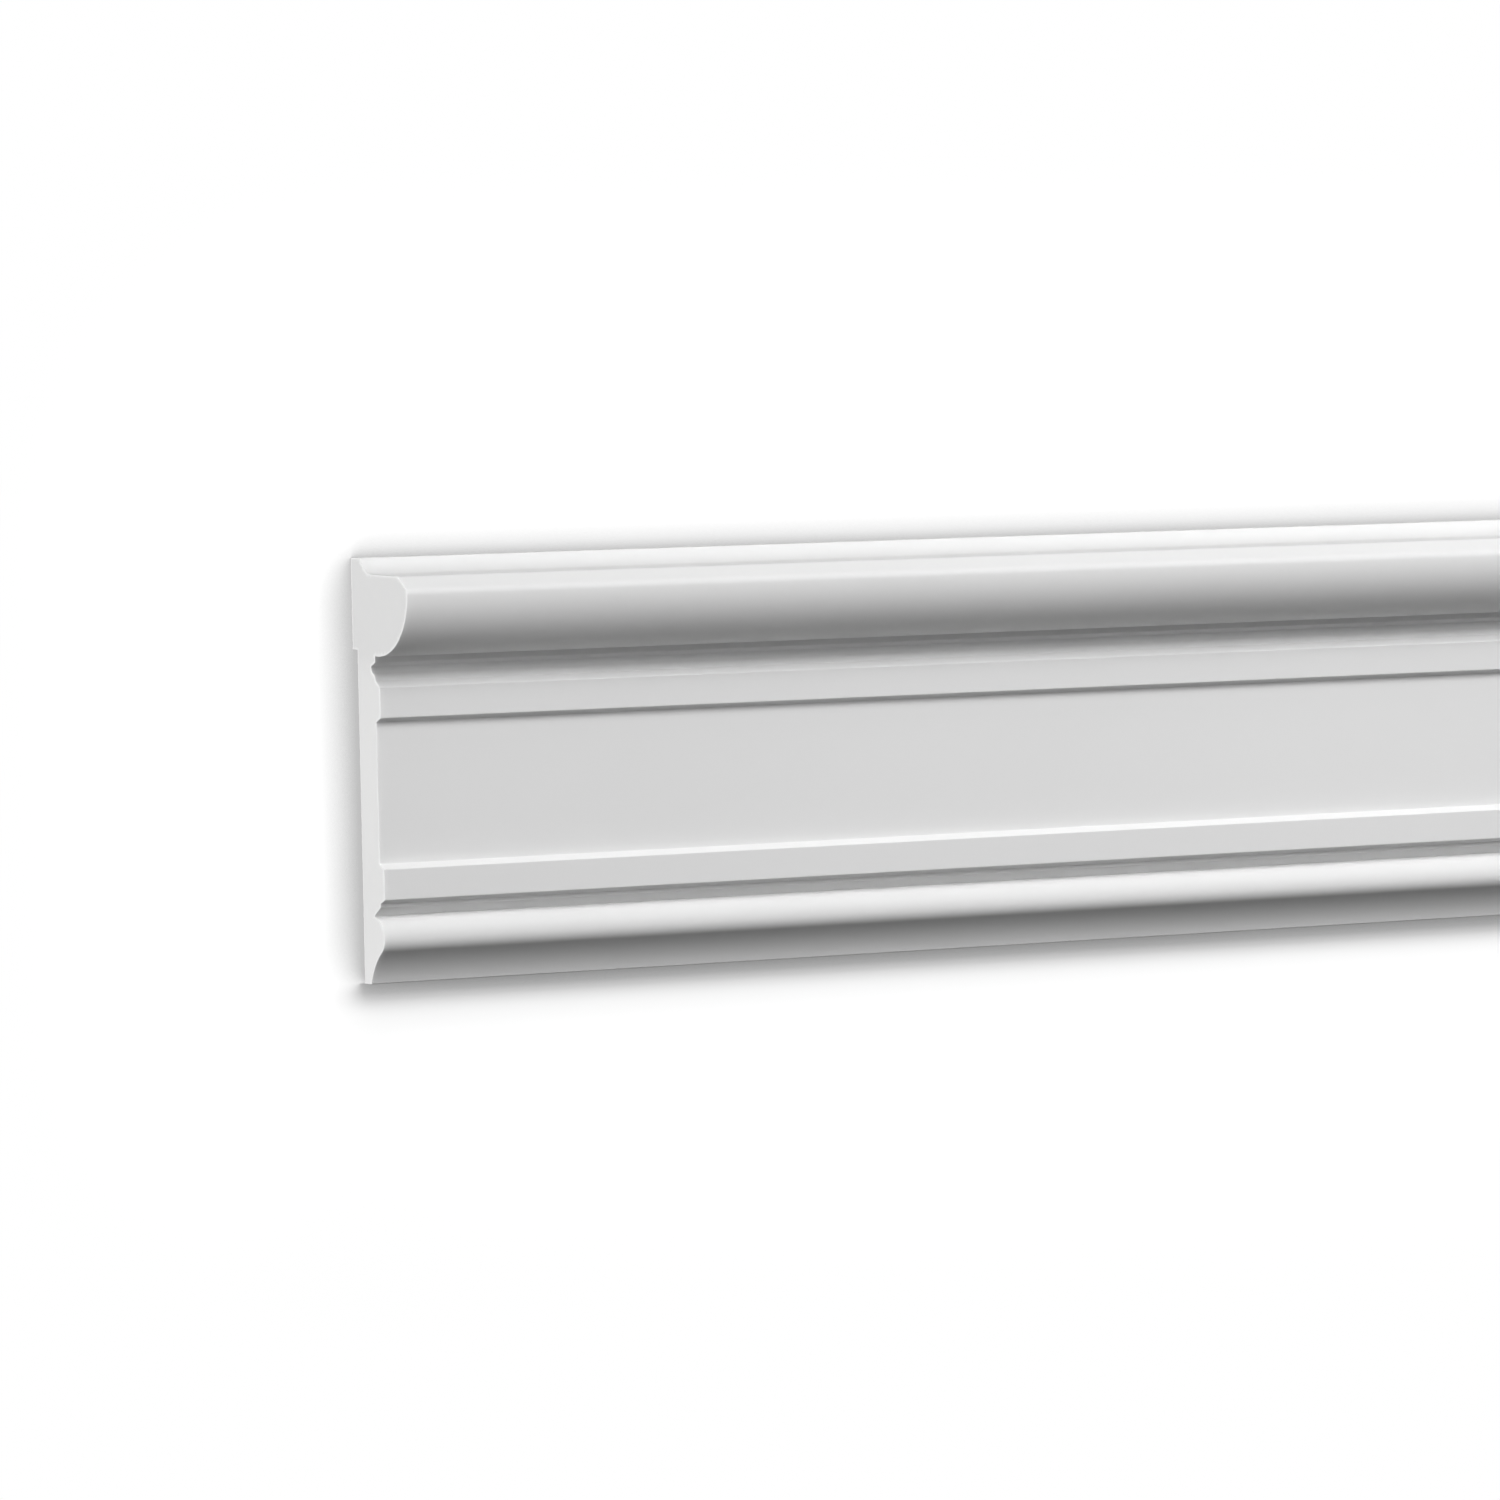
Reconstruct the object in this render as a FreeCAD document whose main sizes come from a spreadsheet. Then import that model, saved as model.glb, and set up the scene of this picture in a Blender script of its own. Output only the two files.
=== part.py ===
# Dado rail: one length of moulded stock with a shelf and ovolo roll along its top edge,
# a sunk frieze between two fascias, a bead and a cove along its bottom edge, and a rebated back.
# It lies on its back: X runs along the length, +Y is the edge that is on top when it is fitted,
# and +Z comes out of the wall. The origin is the middle of the face that meets the wall.

import FreeCAD, Part
import math
import os

import Sketcher

Vector = FreeCAD.Vector

# Every driving dimension in millimetres: its name, its value and what it sets.
# Heights and drops run down the face of the fitted rail, depths run towards the wall.
SIZES = [
    ("stock_length", 2000.0, "length of one piece as sold"),
    ("rail_width", 130.0, "top edge to bottom edge of the fitted rail"),
    ("projection", 35.0, "wall to the nose of the roll"),
    ("crown_thickness", 5.7, "wall to the front of the top edge"),
    ("crown_cove_drop", 5.0, "height of the cove between the top edge and the shelf"),
    ("crown_cove_depth", 6.5, "depth of the same cove"),
    ("crown_cove_radius", 8.2, "hollow round of the same cove"),
    ("shelf_fall", 0.5, "fall of the shelf from its foot to its shoulder"),
    ("weathering_drop", 5.6, "height from the shoulder down to the nose"),
    ("weathering_depth", 5.6, "depth from the nose back to the shoulder"),
    ("nose_radius", 2.9, "round between the weathering and the ovolo"),
    ("ovolo_radius", 18.8, "round under the nose, down to the narrow fillet"),
    ("panel_projection", 14.0, "wall to the frieze and to the narrow fillets"),
    ("roll_fillet_height", 2.0, "narrow fillet under the ovolo"),
    ("roll_splay_drop", 1.2, "height of the splay from that fillet into the hollow"),
    ("hollow_depth", 2.7, "depth of the hollow behind the frieze's face"),
    ("hollow_drop", 4.4, "height of the reversed curve that leads out of the hollow"),
    ("fascia_relief", 2.6, "how far both fascias stand proud of the frieze"),
    ("upper_bevel_drop", 1.9, "height of the bevel above the upper fascia"),
    ("upper_fascia_height", 9.4, "height of the upper fascia"),
    ("upper_step_drop", 1.2, "height of the splayed step into the frieze"),
    ("lower_bevel_drop", 1.6, "height of the bevel above the lower fascia"),
    ("lower_fascia_height", 9.4, "height of the lower fascia"),
    ("lower_step_drop", 1.2, "height of the splayed step under the lower fascia"),
    ("bead_fillet_height", 1.1, "narrow fillet above the bead"),
    ("bead_splay_drop", 2.9, "height of the splay from that fillet into the quirk"),
    ("bead_quirk_depth", 4.3, "depth of the quirk behind the frieze's face"),
    ("bead_projection", 16.1, "wall to the nose of the bead"),
    ("bead_nose_height", 13.9, "bottom edge to the nose of the bead"),
    ("bead_top_radius", 6.9, "round from the quirk to the nose of the bead"),
    ("bead_return_radius", 4.9, "round from the nose of the bead towards the cove"),
    ("base_cove_radius", 19.7, "cove from the bead to the bottom edge"),
    ("lip_projection", 7.1, "wall to the front of the bottom edge"),
    ("land_width", 28.0, "height of the face that meets the wall"),
    ("rebate_depth", 3.0, "depth of the rebate in the back below that face"),
    ("arris_radius", 0.4, "softened outward arrises"),
]


# The corners of the section where the edge along the rail is slightly soft.
ARRISES = ["crown", "shoulder", "roll_fillet", "upper_start", "upper_end",
           "lower_start", "lower_end", "fillet_end", "lip"]


class Outline:
    """A closed outline in a sketch, drawn edge by edge, each edge tied to the last one."""

    def __init__(self, sketch, start):
        self.sketch = sketch
        self.at = start
        self.last = None
        self.ends = {}

    def _tie(self, name, index, first_end, last_end, point, joint="Coincident"):
        self.ends[name] = (index, last_end)
        if self.last is not None:
            self.sketch.addConstraint(
                Sketcher.Constraint(joint, self.last[0], self.last[1], index, first_end))
        self.last = (index, last_end)
        self.at = point
        return index

    def line(self, name, point):
        """Draws a straight edge to the point and gives it the name of the corner it reaches."""
        index = self.sketch.addGeometry(Part.LineSegment(self.at, point), False)
        return self._tie(name, index, 1, 2, point)

    def arc(self, name, centre, point, convex, smooth=False):
        """Draws a round edge to the point. A convex edge bulges away from the material,
        and a smooth one carries on from the last edge with no corner."""
        joint = "Tangent" if smooth else "Coincident"
        radius = (self.at - centre).Length
        here = math.atan2(self.at.y - centre.y, self.at.x - centre.x)
        there = math.atan2(point.y - centre.y, point.x - centre.x)
        circle = Part.Circle(centre, Vector(0, 0, 1), radius)
        if convex:
            index = self.sketch.addGeometry(Part.ArcOfCircle(circle, here, there), False)
            return self._tie(name, index, 1, 2, point, joint)
        index = self.sketch.addGeometry(Part.ArcOfCircle(circle, there, here), False)
        return self._tie(name, index, 2, 1, point, joint)

    def close(self, first_index):
        """Ties the end of the last edge to the start of the first one."""
        self.sketch.addConstraint(
            Sketcher.Constraint("Coincident", self.last[0], self.last[1], first_index, 1))

    def corner(self, name):
        """Where a named corner lies in the solved sketch."""
        return self.sketch.getPoint(*self.ends[name])


def fill_sheet(document):
    """Writes the driving dimensions into a spreadsheet, one aliased cell for each."""
    sheet = document.addObject("Spreadsheet::Sheet", "Sizes")
    for row, (alias, value, meaning) in enumerate(SIZES, 1):
        sheet.set("A%d" % row, meaning)
        sheet.set("B%d" % row, repr(value))
        sheet.setAlias("B%d" % row, alias)
    document.recompute()
    return sheet


def origin_plane(body, role):
    """The body's own origin plane of the given role."""
    return [feature for feature in body.Origin.OriginFeatures if feature.Role == role][0]


def new_sketch(body, name):
    """A sketch across the rail: its x axis is the rail's Y and its y axis is the rail's Z."""
    sketch = body.newObject("Sketcher::SketchObject", name)
    sketch.AttachmentSupport = [(origin_plane(body, "YZ_Plane"), "")]
    sketch.MapMode = "FlatFace"
    return sketch


def bind(sketch, constraint, name, formula):
    """Adds a dimension to the sketch and ties it to the spreadsheet."""
    index = sketch.addConstraint(constraint)
    sketch.renameConstraint(index, name)
    sketch.setExpression("Constraints." + name, formula)


# The origin as a point of any sketch.
ROOT = (-1, 1)


def level(sketch, one, other):
    """Keeps two points of the sketch at the same depth."""
    sketch.addConstraint(Sketcher.Constraint("Horizontal", one[0], one[1], other[0], other[1]))


def plumb(sketch, one, other):
    """Keeps two points of the sketch at the same height on the rail."""
    sketch.addConstraint(Sketcher.Constraint("Vertical", one[0], one[1], other[0], other[1]))


def drop(sketch, name, lower, upper, value, formula=None):
    """A height from the lower point up to the upper one."""
    constraint = Sketcher.Constraint("DistanceX", lower[0], lower[1], upper[0], upper[1], value)
    bind(sketch, constraint, name, formula or "Sizes." + name)


def depth(sketch, name, inner, outer, value, formula=None):
    """A depth from the inner point out to the outer one."""
    constraint = Sketcher.Constraint("DistanceY", inner[0], inner[1], outer[0], outer[1], value)
    bind(sketch, constraint, name, formula or "Sizes." + name)


def round_of(sketch, name, edge, value):
    """The radius of a round edge."""
    bind(sketch, Sketcher.Constraint("Radius", edge, value), name, "Sizes." + name)


def draw_section(body, size):
    """The whole front and the plain back, from the top edge round to the bottom edge."""
    sketch = new_sketch(body, "Section")
    top = size["rail_width"] / 2
    panel = size["panel_projection"]
    face = panel + size["fascia_relief"]
    outline = Outline(sketch, Vector(top, 0, 0))

    # Crown: the top edge, its cove, the shelf, and the weathering that slopes down to the nose.
    crown = Vector(top, size["crown_thickness"], 0)
    foot = crown + Vector(-size["crown_cove_drop"], size["crown_cove_depth"], 0)
    crown_centre = outer_centre(foot, size["crown_cove_radius"],
                                crown, size["crown_cove_radius"])
    shoulder = Vector(foot.x - size["shelf_fall"], size["projection"] - size["weathering_depth"], 0)
    nose = Vector(shoulder.x - size["weathering_drop"], size["projection"], 0)
    edge_top = outline.line("crown", crown)
    cove_top = outline.arc("foot", crown_centre, foot, convex=False)
    outline.line("shoulder", shoulder)

    # Roll: the weathering runs into the nose, and the ovolo carries on from it to the fillet.
    nose_centre = nose - Vector(0, size["nose_radius"], 0)
    roll_centre = nose - Vector(0, size["ovolo_radius"], 0)
    roll_reach = math.sqrt(size["ovolo_radius"] ** 2 - (roll_centre.y - panel) ** 2)
    roll_end = Vector(nose.x - roll_reach, panel, 0)
    outline.line("nose_start", touching_point(shoulder, nose_centre, size["nose_radius"]))
    nose_round = outline.arc("nose", nose_centre, nose, convex=True, smooth=True)
    roll = outline.arc("roll_end", roll_centre, roll_end, convex=True)

    # Hollow: a narrow fillet, a splay into the hollow and a reversed curve out of it.
    splay_start = Vector(roll_end.x - size["roll_fillet_height"], panel, 0)
    hollow = Vector(splay_start.x - size["roll_splay_drop"], panel - size["hollow_depth"], 0)
    hollow_end = Vector(hollow.x - size["hollow_drop"], panel, 0)
    reverse = (hollow + hollow_end) / 2
    reverse_radius = (hollow_end - hollow).Length ** 2 / (4 * size["hollow_depth"])
    roll_fillet = outline.line("roll_fillet", splay_start)
    outline.line("hollow", hollow)
    hollow_centre = Vector(hollow.x, hollow.y + reverse_radius, 0)
    hollow_in = outline.arc("reverse", hollow_centre, reverse, convex=False)
    swell_centre = Vector(hollow_end.x, hollow_end.y - reverse_radius, 0)
    hollow_out = outline.arc("hollow_end", swell_centre, hollow_end, convex=True, smooth=True)

    # Upper fascia and its step into the frieze.
    fascia_start = Vector(hollow_end.x - size["upper_bevel_drop"], face, 0)
    fascia_end = Vector(fascia_start.x - size["upper_fascia_height"], face, 0)
    outline.line("upper_start", fascia_start)
    upper = outline.line("upper_end", fascia_end)
    outline.line("frieze_start", Vector(fascia_end.x - size["upper_step_drop"], panel, 0))

    # The lower members are set out upwards from the bottom edge, so the frieze takes what is left.
    bead_nose = Vector(size["bead_nose_height"] - top, size["bead_projection"], 0)
    bead_centre = Vector(bead_nose.x, bead_nose.y - size["bead_top_radius"], 0)
    quirk_depth = panel - size["bead_quirk_depth"]
    quirk_reach = math.sqrt(size["bead_top_radius"] ** 2 - (quirk_depth - bead_centre.y) ** 2)
    quirk = Vector(bead_centre.x + quirk_reach, quirk_depth, 0)
    fillet_end = Vector(quirk.x + size["bead_splay_drop"], panel, 0)
    fillet_start = Vector(fillet_end.x + size["bead_fillet_height"], panel, 0)
    lower_end = Vector(fillet_start.x + size["lower_step_drop"], face, 0)
    lower_start = Vector(lower_end.x + size["lower_fascia_height"], face, 0)
    frieze = outline.line("frieze_end", Vector(lower_start.x + size["lower_bevel_drop"], panel, 0))
    outline.line("lower_start", lower_start)
    lower = outline.line("lower_end", lower_end)
    outline.line("fillet_start", fillet_start)
    bead_fillet = outline.line("fillet_end", fillet_end)
    outline.line("quirk", quirk)

    # Bead: two rounds that share the nose, then the cove down to the lip of the bottom edge.
    bead_top = outline.arc("bead_nose", bead_centre, bead_nose, convex=True)
    return_centre = Vector(bead_nose.x, bead_nose.y - size["bead_return_radius"], 0)
    lip = Vector(-top, size["lip_projection"], 0)
    cove_centre = outer_centre(lip, size["base_cove_radius"], return_centre,
                               size["base_cove_radius"] + size["bead_return_radius"])
    turn = return_centre + (cove_centre - return_centre).normalize() * size["bead_return_radius"]
    bead_return = outline.arc("turn", return_centre, turn, convex=True)
    base_cove = outline.arc("lip", cove_centre, lip, convex=False, smooth=True)
    edge_bottom = outline.line("heel", Vector(-top, 0, 0))
    back = outline.line("back", Vector(top, 0, 0))
    outline.close(edge_top)
    point = outline.ends

    # The back lies in the wall's plane and the section is centred on the origin.
    sketch.addConstraint(Sketcher.Constraint("Symmetric", back, 1, back, 2, ROOT[0], ROOT[1]))
    for edge in (back, roll_fillet, upper, frieze, lower, bead_fillet):
        sketch.addConstraint(Sketcher.Constraint("Horizontal", edge))
    for edge in (edge_top, edge_bottom):
        sketch.addConstraint(Sketcher.Constraint("Vertical", edge))
    drop(sketch, "rail_width", (back, 1), (back, 2), size["rail_width"])

    depth(sketch, "crown_thickness", (edge_top, 1), point["crown"], size["crown_thickness"])
    drop(sketch, "crown_cove_drop", point["foot"], point["crown"], size["crown_cove_drop"])
    depth(sketch, "crown_cove_depth", point["crown"], point["foot"], size["crown_cove_depth"])
    round_of(sketch, "crown_cove_radius", cove_top, size["crown_cove_radius"])
    drop(sketch, "shelf_fall", point["shoulder"], point["foot"], size["shelf_fall"])
    drop(sketch, "weathering_drop", point["nose"], point["shoulder"], size["weathering_drop"])
    depth(sketch, "weathering_depth", point["shoulder"], point["nose"], size["weathering_depth"])
    depth(sketch, "projection", ROOT, point["nose"], size["projection"])

    round_of(sketch, "nose_radius", nose_round, size["nose_radius"])
    plumb(sketch, (nose_round, 3), point["nose"])
    round_of(sketch, "ovolo_radius", roll, size["ovolo_radius"])
    plumb(sketch, (roll, 3), point["nose"])

    drop(sketch, "roll_fillet_height", point["roll_fillet"], point["roll_end"],
         size["roll_fillet_height"])
    drop(sketch, "roll_splay_drop", point["hollow"], point["roll_fillet"], size["roll_splay_drop"])
    depth(sketch, "hollow_depth", point["hollow"], point["roll_fillet"], size["hollow_depth"])
    drop(sketch, "hollow_drop", point["hollow_end"], point["hollow"], size["hollow_drop"])
    plumb(sketch, (hollow_in, 3), point["hollow"])
    plumb(sketch, (hollow_out, 3), point["hollow_end"])
    sketch.addConstraint(Sketcher.Constraint("Equal", hollow_in, hollow_out))

    drop(sketch, "upper_bevel_drop", point["upper_start"], point["hollow_end"],
         size["upper_bevel_drop"])
    depth(sketch, "fascia_relief", point["frieze_start"], point["upper_end"],
          size["fascia_relief"])
    drop(sketch, "upper_fascia_height", point["upper_end"], point["upper_start"],
         size["upper_fascia_height"])
    drop(sketch, "upper_step_drop", point["frieze_start"], point["upper_end"],
         size["upper_step_drop"])
    depth(sketch, "panel_projection", ROOT, point["frieze_start"], size["panel_projection"])
    level(sketch, point["roll_end"], point["frieze_start"])
    level(sketch, point["hollow_end"], point["frieze_start"])
    level(sketch, point["fillet_start"], point["frieze_end"])
    level(sketch, point["lower_start"], point["upper_end"])

    drop(sketch, "lower_bevel_drop", point["lower_start"], point["frieze_end"],
         size["lower_bevel_drop"])
    drop(sketch, "lower_fascia_height", point["lower_end"], point["lower_start"],
         size["lower_fascia_height"])
    drop(sketch, "lower_step_drop", point["fillet_start"], point["lower_end"],
         size["lower_step_drop"])
    drop(sketch, "bead_fillet_height", point["fillet_end"], point["fillet_start"],
         size["bead_fillet_height"])
    drop(sketch, "bead_splay_drop", point["quirk"], point["fillet_end"], size["bead_splay_drop"])
    depth(sketch, "bead_quirk_depth", point["quirk"], point["fillet_end"],
          size["bead_quirk_depth"])

    drop(sketch, "bead_nose_height", point["heel"], point["bead_nose"], size["bead_nose_height"])
    depth(sketch, "bead_projection", ROOT, point["bead_nose"], size["bead_projection"])
    round_of(sketch, "bead_top_radius", bead_top, size["bead_top_radius"])
    round_of(sketch, "bead_return_radius", bead_return, size["bead_return_radius"])
    round_of(sketch, "base_cove_radius", base_cove, size["base_cove_radius"])
    plumb(sketch, (bead_top, 3), point["bead_nose"])
    plumb(sketch, (bead_return, 3), point["bead_nose"])
    depth(sketch, "lip_projection", point["heel"], point["lip"], size["lip_projection"])
    return outline


def touching_point(start, centre, radius):
    """Where a straight line from the start touches a circle on the side away from the wall."""
    reach = centre - start
    aim = math.atan2(-reach.y, -reach.x) + math.acos(radius / reach.Length)
    return centre + Vector(math.cos(aim), math.sin(aim), 0) * radius


def outer_centre(one, one_radius, other, other_radius):
    """Where two circles cross, on the side away from the wall."""
    apart = other - one
    along = (one_radius ** 2 - other_radius ** 2 + apart.Length ** 2) / (2 * apart.Length)
    aside = math.sqrt(one_radius ** 2 - along ** 2)
    unit = Vector(apart).normalize()
    return one + unit * along + Vector(-unit.y, unit.x, 0) * aside


def draw_rebate(body, size):
    """The sunk part of the back, from the land down to the bottom edge."""
    sketch = new_sketch(body, "RebateSection")
    top = size["rail_width"] / 2
    step = top - size["land_width"]
    outline = Outline(sketch, Vector(-top, 0, 0))
    floor = outline.line("step_foot", Vector(step, 0, 0))
    wall = outline.line("step_head", Vector(step, size["rebate_depth"], 0))
    roof = outline.line("roof_end", Vector(-top, size["rebate_depth"], 0))
    side = outline.line("start", Vector(-top, 0, 0))
    outline.close(floor)
    for edge in (floor, roof):
        sketch.addConstraint(Sketcher.Constraint("Horizontal", edge))
    for edge in (wall, side):
        sketch.addConstraint(Sketcher.Constraint("Vertical", edge))
    level(sketch, (floor, 1), ROOT)
    drop(sketch, "half_width", (floor, 1), ROOT, top, "Sizes.rail_width / 2")
    drop(sketch, "floor_width", (floor, 1), (floor, 2), top + step,
         "Sizes.rail_width - Sizes.land_width")
    depth(sketch, "rebate_depth", (wall, 1), (wall, 2), size["rebate_depth"])
    return sketch


def long_edge(shape, corner):
    """The name of the edge that runs the length of the rail through a corner of the section."""
    for number, edge in enumerate(shape.Edges, 1):
        middle = edge.CenterOfMass
        offset = math.hypot(middle.y - corner.x, middle.z - corner.y)
        if offset < 1e-4 and abs(middle.x) < 1e-4:
            return "Edge%d" % number
    raise RuntimeError("no edge runs through the corner at %.3f, %.3f" % (corner.x, corner.y))


def build_rail(document, size):
    """The whole moulding as one body."""
    body = document.addObject("PartDesign::Body", "DadoRail")
    body.Label = "dado_rail"

    outline = draw_section(body, size)
    stock = body.newObject("PartDesign::Pad", "Stock")
    stock.Profile = outline.sketch
    stock.SideType = "Symmetric"
    stock.setExpression("Length", "Sizes.stock_length")
    document.recompute()

    rebate = body.newObject("PartDesign::Pocket", "BackRebate")
    rebate.Profile = draw_rebate(body, size)
    rebate.SideType = "Symmetric"
    rebate.setExpression("Length", "Sizes.stock_length")
    document.recompute()

    arrises = body.newObject("PartDesign::Fillet", "ArrisRounds")
    edges = [long_edge(rebate.Shape, outline.corner(name)) for name in ARRISES]
    arrises.Base = (rebate, edges)
    arrises.setExpression("Radius", "Sizes.arris_radius")
    document.recompute()

    removed = stock.Shape.Volume - rebate.Shape.Volume
    expected = (size["rail_width"] - size["land_width"]) * size["rebate_depth"] * size["stock_length"]
    if abs(removed - expected) > expected * 1e-6:
        raise RuntimeError("the rebate removed %.1f cubic millimetres" % removed)
    return body


def check(document, body):
    """Stops if any object failed or the rail isn't one sound solid."""
    for thing in document.Objects:
        if "Invalid" in thing.State or "Error" in thing.State:
            raise RuntimeError("%s failed: %s" % (thing.Label, thing.State))
        if thing.TypeId == "Sketcher::SketchObject" and not thing.FullyConstrained:
            raise RuntimeError("%s isn't fully constrained" % thing.Label)
    shape = body.Shape
    if shape.isNull() or not shape.isValid() or len(shape.Solids) != 1:
        raise RuntimeError("%s isn't one sound solid" % body.Label)


def main():
    document = FreeCAD.newDocument("DadoRail")
    fill_sheet(document)
    size = {alias: value for alias, value, meaning in SIZES}
    body = build_rail(document, size)
    check(document, body)
    os.makedirs("parts", exist_ok=True)
    body.Shape.exportStep(os.path.join("parts", body.Label + ".step"))
    box = body.Shape.BoundBox
    print("%s: %.1f x %.1f x %.1f mm, %.0f cubic centimetres"
          % (body.Label, box.XLength, box.YLength, box.ZLength, body.Shape.Volume / 1000))


main()
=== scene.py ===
"""Dado rail: one length of primed foam moulding, lying on its back on a white table."""

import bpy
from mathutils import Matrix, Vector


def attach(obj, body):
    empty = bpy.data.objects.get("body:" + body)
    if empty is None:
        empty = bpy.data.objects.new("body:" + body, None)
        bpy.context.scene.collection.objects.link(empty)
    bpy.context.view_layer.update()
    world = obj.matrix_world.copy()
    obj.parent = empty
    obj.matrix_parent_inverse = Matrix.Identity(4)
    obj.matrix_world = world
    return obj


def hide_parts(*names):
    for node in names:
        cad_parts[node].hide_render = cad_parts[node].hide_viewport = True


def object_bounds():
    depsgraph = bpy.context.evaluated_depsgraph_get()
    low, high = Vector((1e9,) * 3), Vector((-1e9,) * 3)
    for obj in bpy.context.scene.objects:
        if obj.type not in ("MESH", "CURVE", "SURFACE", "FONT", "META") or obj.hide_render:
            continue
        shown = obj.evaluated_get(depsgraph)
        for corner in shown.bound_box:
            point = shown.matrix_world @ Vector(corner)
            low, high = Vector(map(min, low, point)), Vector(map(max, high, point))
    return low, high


bl_info = {
    "name": "Dado rail",
    "version": (1, 0, 0),
    "blender": (4, 5, 0),
    "location": "3D View > Sidebar > Dado rail",
    "description": "Builds a moulded dado rail, primed and cut to length, and a white studio",
    "category": "Add Mesh",
}

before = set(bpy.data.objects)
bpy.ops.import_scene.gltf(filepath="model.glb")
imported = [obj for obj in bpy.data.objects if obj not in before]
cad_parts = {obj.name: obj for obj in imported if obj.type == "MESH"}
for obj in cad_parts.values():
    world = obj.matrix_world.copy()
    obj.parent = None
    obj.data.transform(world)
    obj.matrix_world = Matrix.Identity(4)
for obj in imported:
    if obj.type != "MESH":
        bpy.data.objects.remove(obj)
CAD_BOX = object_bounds()

import math
import random

import bpy
import numpy as np
from bpy.props import FloatProperty, FloatVectorProperty, PointerProperty
from mathutils import Matrix, Vector, geometry, noise

MM = 0.001
RAIL = "dado_rail"
STOCK_LENGTH = CAD_BOX[1].x - CAD_BOX[0].x
RAIL_WIDTH = CAD_BOX[1].y - CAD_BOX[0].y
PROJECTION = CAD_BOX[1].z - CAD_BOX[0].z

# How closely the rounds of the section follow the true curve, and how long a facet may get.
ROUND_ERROR = 0.003 * MM
HOLDING_GAP = 0.12 * MM
STATION_GAP = 25 * MM
END_STATION = 1.5 * MM

# The grid of points that fills a cut end: its spacing, the height of a row as a share of it,
# how far a point strays and how near the rim one may lie.
CELL_GAP = 1.1 * MM
ROW_SHARE = 0.87
STRAY_SHARE = 0.2
RIM_SHARE = 0.45
LIP_STEPS = 3

# The relief of a cut end: how wide and how deep it is, and how far from the rim it is full.
RELIEF_WIDTH = 2.2 * MM
RELIEF_DEPTH = 0.02 * MM
RELIEF_MARGIN = 1.5 * MM

# Where the section is thin and its cut end drawn paler, and where it is thick and drawn darker,
# averaged over a thumb.
THIN_PART = 8 * MM
THICK_PART = 20 * MM
THUMB = 9 * MM
EDGE_WINDOW = 0.5 * MM
EDGE_POINTS = 150
THICKNESS_PLACES = 200

# Finer effects of the finishes.
DULL_GLOSS = 0.2
DRIFT_SCALE = 14.0
DRIFT_RANGE = (0.985, 1.012)
ROUGHNESS_SPREAD = 0.04
SPECK_AMOUNT = 0.35
SPECK_SHADE = 0.12
SPECK_TONE = 0.55
SPECK_RISE = 4.0
PRIMER_BUMP = 0.006 * MM
PORE_GAP = 3.2 * MM
PORE_SIZE = 0.4 * MM
PORE_AMOUNT = 0.4
PORE_SHADE = 0.06
PORE_TONE = 0.5
PORE_DEPTH = 2.0
MOTTLE = 0.03
CUT_BUMP = 0.03 * MM
BACK_RANGE = (0.94, 1.04)
BACK_BUMP = 0.05 * MM

# The table: where its shading begins and ends to fade to plain white, and how much light it
# throws back at the rail.
FADE_START = 0.02
FADE_END = 0.12
TABLE_BOUNCE = 0.12
LEAST_REACH = 0.1 * MM


def length(name, metres, description):
    """A size that a user may change."""
    return FloatProperty(name=name, description=description, default=metres, min=0.0,
                         precision=4, subtype="DISTANCE", unit="LENGTH")


def share(name, value, description):
    """A share from nothing to all."""
    return FloatProperty(name=name, description=description, default=value, min=0.0, max=1.0,
                         subtype="FACTOR")


def tone(name, value, description):
    """A colour of a finish."""
    return FloatVectorProperty(name=name, description=description, default=value, size=3,
                               min=0.0, max=1.0, subtype="COLOR")


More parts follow.
